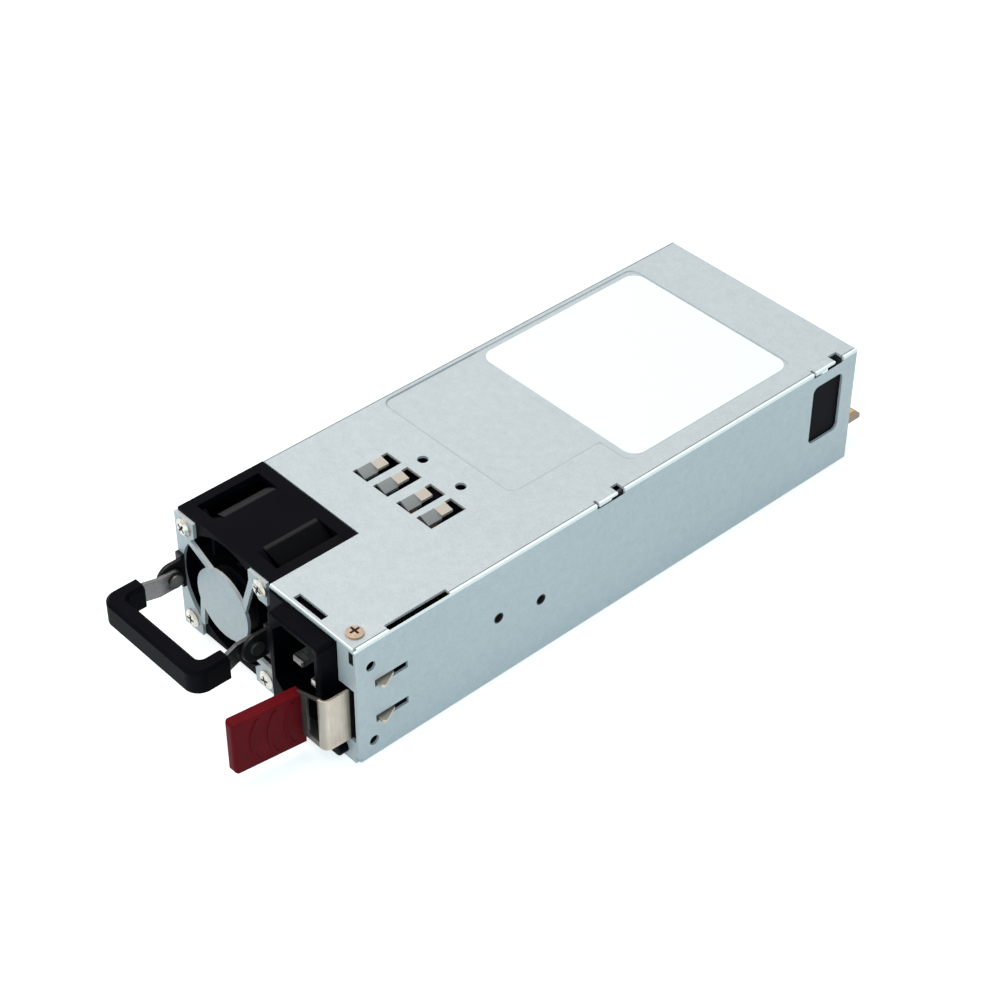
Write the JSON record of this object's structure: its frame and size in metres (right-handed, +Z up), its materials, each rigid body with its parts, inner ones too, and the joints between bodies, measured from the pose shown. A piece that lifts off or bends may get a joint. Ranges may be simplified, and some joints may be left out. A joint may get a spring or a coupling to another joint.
{
  "type": "hot swap server power supply",
  "caption": "Long flat sheet metal power module with a front fan behind a stamped guard, mains inlet, swing handle, spring latch with red tab and a rear card edge.",
  "frame": {"origin": "centre of the case's bottom face", "axes": "+Y from the fan end to the card edge, +Z up, +X towards the latch side"},
  "size_m": [0.0757, 0.2227, 0.0408],
  "materials": {
    "galvanised": "bare galvanised sheet, fine mottled grain",
    "tan_steel": "warm nickel plated spring steel",
    "screw_steel": "bright zinc plate",
    "dark_steel": "dark semi gloss coat",
    "black_plastic": "black moulding",
    "gloss_black": "black moulding with a soft sheen",
    "red_plastic": "burgundy moulding",
    "white_paper": "blank white film",
    "gold": "gold flash",
    "board_green": "green solder resist",
    "aluminium": "plain extruded",
    "copper_wire": "enamelled copper",
    "ferrite": "dark ferrite",
    "can_sleeve": "dark shrink sleeve",
    "yellow_case": "yellow film capacitor case",
    "steel": "plain steel"
  },
  "bodies": {
    "case": {"base_chassis": "galvanised", "top_cover": "galvanised", "rating_label": "white_paper", "cover_screw": "screw_steel", "front_panel": "galvanised", "rear_panel": "galvanised", "fan_frame": "black_plastic", "fan_bearings": "steel", "fan_stator": "copper_wire", "fan_screws": "screw_steel", "inlet_housing": "gloss_black", "inlet_blades": "screw_steel", "inlet_earth_blade": "screw_steel", "status_light": "gloss_black", "handle_ears": "dark_steel", "handle_pivots": "screw_steel", "latch_root": "tan_steel", "latch_rivets": "galvanised", "main_board": "board_green", "contact_fingers": "gold", "board_standoffs": "steel", "board_screws": "screw_steel", "insulation_sheet": "black_plastic", "side_insulator": "black_plastic", "bulk_capacitors": "can_sleeve", "transformer_core": "ferrite", "transformer_winding": "copper_wire", "factor_choke": "copper_wire", "filter_choke": "copper_wire", "filter_capacitor": "yellow_case", "primary_heat_sink": "aluminium", "secondary_heat_sink": "aluminium", "power_transistors": "black_plastic", "output_capacitors": "can_sleeve", "output_busbar": "copper_wire", "relay": "black_plastic", "fuse_body": "steel", "control_board": "board_green"},
    "handle": {"handle_strap": "steel", "handle_grip": "black_plastic"},
    "latch": {"latch_leaf": "tan_steel", "release_tab": "red_plastic"},
    "fan_rotor": {"fan_impeller": "black_plastic", "fan_magnet": "ferrite", "fan_shaft": "steel"}
  },
  "joints": [
    {"name": "handle_swing", "type": "hinge", "parent": "case", "child": "handle", "pos_m": [-0.01645, -0.0971, 0.02], "axis": [1, 0, 0], "range_deg": [-75, 75]},
    {"name": "latch_flex", "type": "hinge", "parent": "case", "child": "latch", "pos_m": [0.0352, -0.0492, 0.0164], "axis": [0, 0, -1], "range_deg": [0, 4], "stiffness_Nm_per_rad": 3, "springref_deg": -1.72},
    {"name": "fan_spin", "type": "hinge", "parent": "case", "child": "fan_rotor", "pos_m": [-0.0165, -0.078, 0.02], "axis": [0, 1, 0], "continuous": true}
  ]
}
